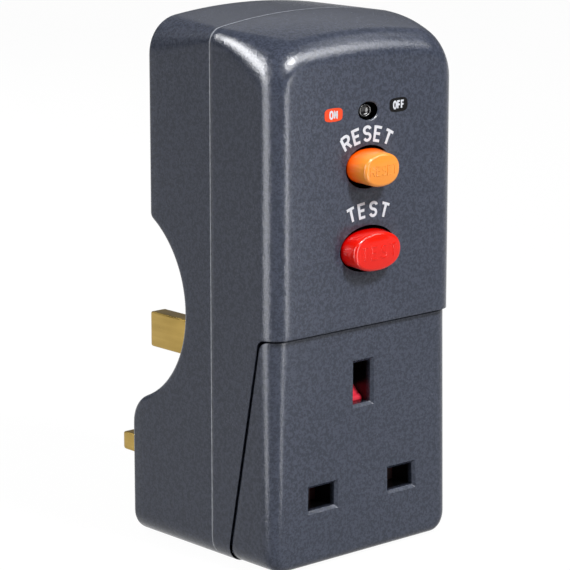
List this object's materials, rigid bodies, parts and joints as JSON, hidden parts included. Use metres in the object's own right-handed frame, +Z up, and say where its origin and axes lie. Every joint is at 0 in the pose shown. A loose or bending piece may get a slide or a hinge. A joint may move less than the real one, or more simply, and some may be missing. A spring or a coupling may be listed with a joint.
{
  "type": "rcd adapter plug",
  "caption": "Grey plug-through residual current adapter with UK pins at the back, a shuttered UK socket, a test button and a reset button.",
  "frame": {"origin": "on the plug face, midway between the current pins", "axes": "+X right seen from the front, +Y out of the plug face to the wall, +Z up"},
  "size_m": [0.0506, 0.073, 0.1118],
  "materials": {
    "case_grey": "spark-eroded satin slate grey",
    "orange_gloss": "glossy orange",
    "red_gloss": "glossy red",
    "lens": "dark clear lens",
    "flag_black": "matt black",
    "foil_orange": "printed orange foil",
    "shutter_red": "moulded red nylon",
    "brass": "drawn brass, lightly tarnished",
    "sleeve_black": "black nylon",
    "spring_steel": "plated spring wire",
    "frame_black": "black moulding",
    "core_steel": "soft iron",
    "copper_wire": "enamelled copper wire",
    "bobbin_white": "natural nylon",
    "board_green": "green laminate",
    "chip_black": "moulded epoxy",
    "varistor_blue": "blue epoxy dip",
    "capacitor_ochre": "ochre film capacitor",
    "resistor_tan": "tan resistor body",
    "screw_steel": "black-plated steel",
    "label_grey": "bare silver-grey label"
  },
  "bodies": {
    "case": {"front_shell": "case_grey", "rear_shell": "case_grey", "socket_cover": "case_grey", "indicator_lens": "lens", "flag_pin": "spring_steel", "reset_spring": "spring_steel", "test_spring": "spring_steel", "test_contacts": "brass", "mech_frame": "frame_black", "contact_base": "frame_black", "opening_springs": "spring_steel", "magnet_yoke": "core_steel", "coil_bobbin": "bobbin_white", "hold_coil": "copper_wire", "live_line_bar": "brass", "neutral_line_bar": "brass", "live_load_strap": "brass", "neutral_load_strap": "brass", "live_contact": "brass", "neutral_contact": "brass", "earth_contact": "brass", "earth_strap": "brass", "socket_block": "frame_black", "shutter_spring": "spring_steel", "earth_pin": "brass", "live_pin": "brass", "neutral_pin": "brass", "live_sleeve": "sleeve_black", "neutral_sleeve": "sleeve_black", "sensor_core": "core_steel", "sensor_winding": "copper_wire", "circuit_board": "board_green", "control_chip": "chip_black", "trip_thyristor": "chip_black", "varistor": "varistor_blue", "filter_capacitor": "capacitor_ochre", "test_resistor": "resistor_tan", "case_screws": "screw_steel", "frame_screws": "screw_steel", "block_screws": "screw_steel", "rear_label": "label_grey"},
    "reset": {"reset_button": "orange_gloss"},
    "test": {"test_button": "red_gloss", "test_bridge": "brass"},
    "carrier": {"contact_carrier": "frame_black", "armature": "core_steel", "live_bridge": "brass", "neutral_bridge": "brass"},
    "flag": {"indicator_flag": "flag_black", "flag_foil": "foil_orange"},
    "shutter": {"shutter": "shutter_red"}
  },
  "joints": [
    {"name": "reset_press", "type": "slide", "parent": "case", "child": "reset", "axis": [0, 1, 0], "range_m": [0, 0.003], "stiffness_N_per_m": 600, "springref_m": -0.0025, "deforming": ["reset_spring"]},
    {"name": "contact_close", "type": "slide", "parent": "case", "child": "carrier", "axis": [0, 1, 0], "range_m": [0, 0.0026], "deforming": ["opening_springs"]},
    {"name": "flag_turn", "type": "hinge", "parent": "case", "child": "flag", "pos_m": [0, -0.03655, 0.0784], "axis": [1, 0, 0], "range_deg": [0, 50]},
    {"name": "test_press", "type": "slide", "parent": "case", "child": "test", "axis": [0, 1, 0], "range_m": [0, 0.002], "stiffness_N_per_m": 500, "springref_m": -0.002, "deforming": ["test_spring"]},
    {"name": "shutter_slide", "type": "slide", "parent": "case", "child": "shutter", "axis": [0, 0, -1], "range_m": [0, 0.0051], "stiffness_N_per_m": 150, "springref_m": -0.003, "deforming": ["shutter_spring"]}
  ],
  "couplings": [
    {"joint": "contact_close", "follows": "reset_press", "ratio": 0.8666},
    {"joint": "flag_turn", "follows": "reset_press", "rad_per_m": 290.88}
  ]
}
